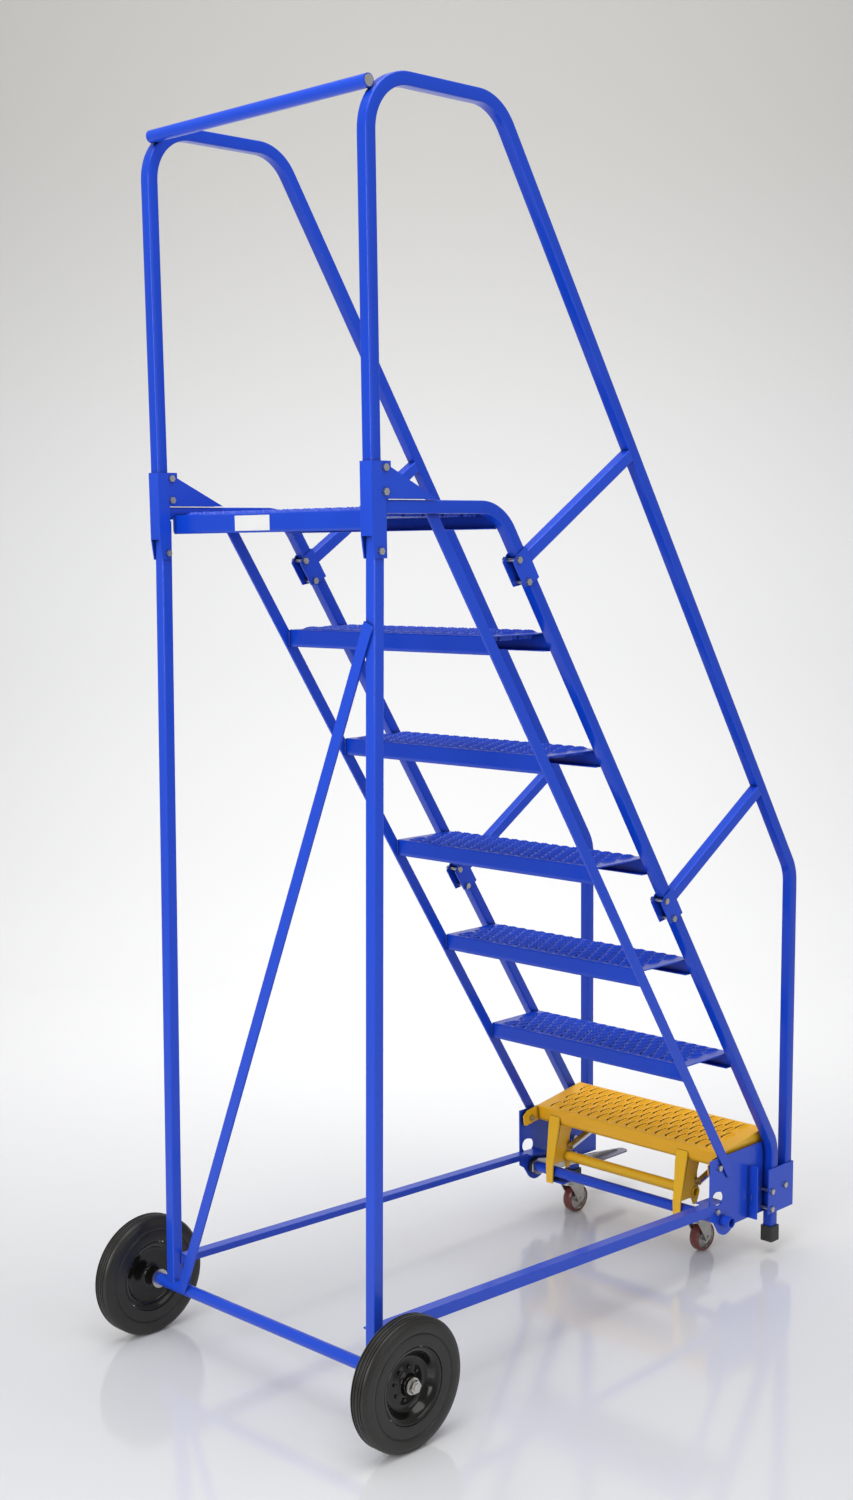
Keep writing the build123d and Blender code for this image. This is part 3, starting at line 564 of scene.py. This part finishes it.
def wheels():
    """Tyres with ribs and grooves, and deep dished centres with a rolled rim and a long inner hub."""
    dish = [(0.0081, 0.0138), (0.0165, 0.0138), (0.0185, 0.0120), (0.0205, 0.0030), (0.0300, 0.0000),
            (0.0420, -0.0045), (0.0500, -0.0050), (0.0560, -0.0020), (0.0610, 0.0060), (0.0660, 0.0140),
            (0.0705, 0.0180), (0.0760, 0.0198), (0.0775, 0.0192), (0.0768, 0.0180), (0.0745, 0.0165),
            (0.0745, -0.0165), (0.0768, -0.0180), (0.0775, -0.0192), (0.0760, -0.0198), (0.0705, -0.0180),
            (0.0650, -0.0145), (0.0600, -0.0100), (0.0500, -0.0090), (0.0400, -0.0085), (0.0300, -0.0070),
            (0.0215, -0.0090), (0.0188, -0.0150), (0.0185, -0.0360), (0.0170, -0.0373), (0.0081, -0.0373)]
    for tag, side, body in (("l", -1, "wheel_left"), ("r", 1, "wheel_right")):
        lo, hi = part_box("tyre_" + tag)
        centre = ((lo + hi) / 2)[:]
        outline = tyre_outline((hi - lo)[2] / 2, (hi - lo)[0] / 2)
        rings = turned(smooth_profile(outline), centre, 160)
        shell = grid_mesh(rings, closed_u=True, closed_v=True)
        add_piece("tyre_skin_" + tag, [shell], TYRE, body, ["tyre_" + tag], smooth=60)
        rings = turned(smooth_profile(np.array(dish) * np.array([1, side])), centre, 96)
        shells = [grid_mesh(rings, closed_u=True, closed_v=True)]
        for k in range(8):
            a = k * math.pi / 4 + 0.2
            spot = (centre[0], centre[1] + 0.0325 * math.cos(a), centre[2] + 0.0325 * math.sin(a))
            stud = [(0.0003, 0.0026), (0.0030, 0.0026), (0.0038, 0.0016), (0.0040, -0.0020),
                    (0.0003, -0.0020)]
            shells.append(grid_mesh(turned(np.array(stud) * np.array([1, side]), spot, 12),
                                    closed_u=True, closed_v=True))
        add_piece("wheel_centre_" + tag, shells, HUB, body, ["wheel_rim_" + tag], smooth=40)


side_frames()
treads()
welds()
wheels()


# ---- Floor, light and camera --------------------------------------------------------
def studio():
    """Pale seamless sweep with a soft sheen, and painted shade that makes its wall a little darker towards
    the top.
    """
    mat = bpy.data.materials.new("pale studio floor")
    mat.use_nodes = True
    tree = mat.node_tree
    shader = tree.nodes["Principled BSDF"]
    split = tree.nodes.new("ShaderNodeSeparateXYZ")
    tree.links.new(tree.nodes.new("ShaderNodeTexCoord").outputs["Object"], split.inputs[0])
    # Painted shade: the sweep's colour darkens from 1.4 m up to 4.6 m, standing in for light falling off
    # towards the top.
    backdrop_shade = tree.nodes.new("ShaderNodeMapRange")
    backdrop_shade.interpolation_type = "SMOOTHSTEP"
    tree.links.new(split.outputs["Z"], backdrop_shade.inputs["Value"])
    backdrop_shade.inputs["From Min"].default_value = 1.4
    backdrop_shade.inputs["From Max"].default_value = 4.6
    shade = mix_node(tree, backdrop_shade.outputs[0], (0.80, 0.805, 0.82, 1), (0.66, 0.655, 0.635, 1))
    tree.links.new(shade, shader.inputs["Base Color"])
    shader.inputs["Roughness"].default_value = 0.11
    shader.inputs["Specular IOR Level"].default_value = 0.8
    t = np.linspace(0, 1, 40)
    flat = np.stack([np.linspace(-9, 3.2, 20), np.zeros(20)], axis=1)
    bend = np.stack([3.2 + 5.5 * np.sin(t * math.pi / 2), 5.5 - 5.5 * np.cos(t * math.pi / 2)], axis=1)
    wall = np.array([[8.7, 6.5], [8.7, 14.0]])
    line = np.concatenate([flat, bend[1:], wall])
    forward = np.array([0.7079, -0.7063])
    right = np.array([-0.7063, -0.7079])
    w = np.linspace(-14, 14, 12)
    xy = line[:, None, 0:1] * forward + w[None, :, None] * right
    pts = np.concatenate([xy, np.broadcast_to(line[:, None, 1:2], xy.shape[:2] + (1,))], axis=-1)
    points, quads = grid_mesh(pts)
    mesh = bpy.data.meshes.new("studio_floor")
    mesh.from_pydata(points.tolist(), [], quads.tolist())
    mesh.polygons.foreach_set("use_smooth", [True] * len(mesh.polygons))
    mesh.materials.append(mat)
    floor = bpy.data.objects.new("studio_floor", mesh)
    bpy.context.scene.collection.objects.link(floor)


def soft_light(name, place, target, size, power, colour=(1, 1, 1)):
    """Square area light aimed at a point."""
    light = bpy.data.lights.new(name, "AREA")
    light.shape = "SQUARE"
    light.size = size
    light.energy = power
    light.color = colour
    lamp = bpy.data.objects.new(name, light)
    lamp.location = place
    lamp.rotation_euler = (Vector(target) - Vector(place)).to_track_quat("-Z", "Y").to_euler()
    bpy.context.scene.collection.objects.link(lamp)


def lights():
    """Overhead bank, a key from the left rear, a fill from the right and a high lamp on the backdrop."""
    soft_light("top_bank", (-0.5, 0.8, 5.2), (0, 0, 0.8), 4.5, 150)
    soft_light("left_key", (-1.2, 5.0, 2.6), (0, 0, 1.0), 3.0, 120)
    soft_light("right_fill", (-5.2, -0.6, 2.2), (0, 0, 1.1), 3.0, 34)
    soft_light("backdrop_glow", (1.6, -1.6, 4.6), (4.8, -4.8, 1.9), 4.0, 225, (1.0, 0.99, 0.97))
    world = bpy.data.worlds.new("studio")
    world.use_nodes = True
    world.node_tree.nodes["Background"].inputs[0].default_value = (0.95, 0.95, 0.95, 1)
    world.node_tree.nodes["Background"].inputs[1].default_value = 0.39
    bpy.context.scene.world = world
    bpy.context.scene.view_settings.view_transform = "Standard"


def camera():
    """Camera at standing height behind the left rear corner, tipped a little down and slightly rolled."""
    yaw, pitch, roll = math.radians(44.928), math.radians(9.310), math.radians(-0.750)
    ahead = Vector((math.cos(yaw) * math.cos(pitch), -math.sin(yaw) * math.cos(pitch), -math.sin(pitch)))
    side = ahead.cross(Vector((0, 0, 1))).normalized()
    up = side.cross(ahead)
    right = side * math.cos(roll) + up * math.sin(roll)
    top = up * math.cos(roll) - side * math.sin(roll)
    turn = Matrix((right, top, -ahead)).transposed().to_4x4()
    data = bpy.data.cameras.new("camera")
    data.lens = 45.604
    data.sensor_width = 36.0
    data.shift_x = 0.0032
    data.shift_y = 0.0700
    data.clip_end = 60
    eye = bpy.data.objects.new("camera", data)
    eye.matrix_world = Matrix.Translation((-2.88685, 2.45062 + SHIFT, 1.73529)) @ turn
    bpy.context.scene.collection.objects.link(eye)
    bpy.context.scene.camera = eye


studio()
lights()
camera()
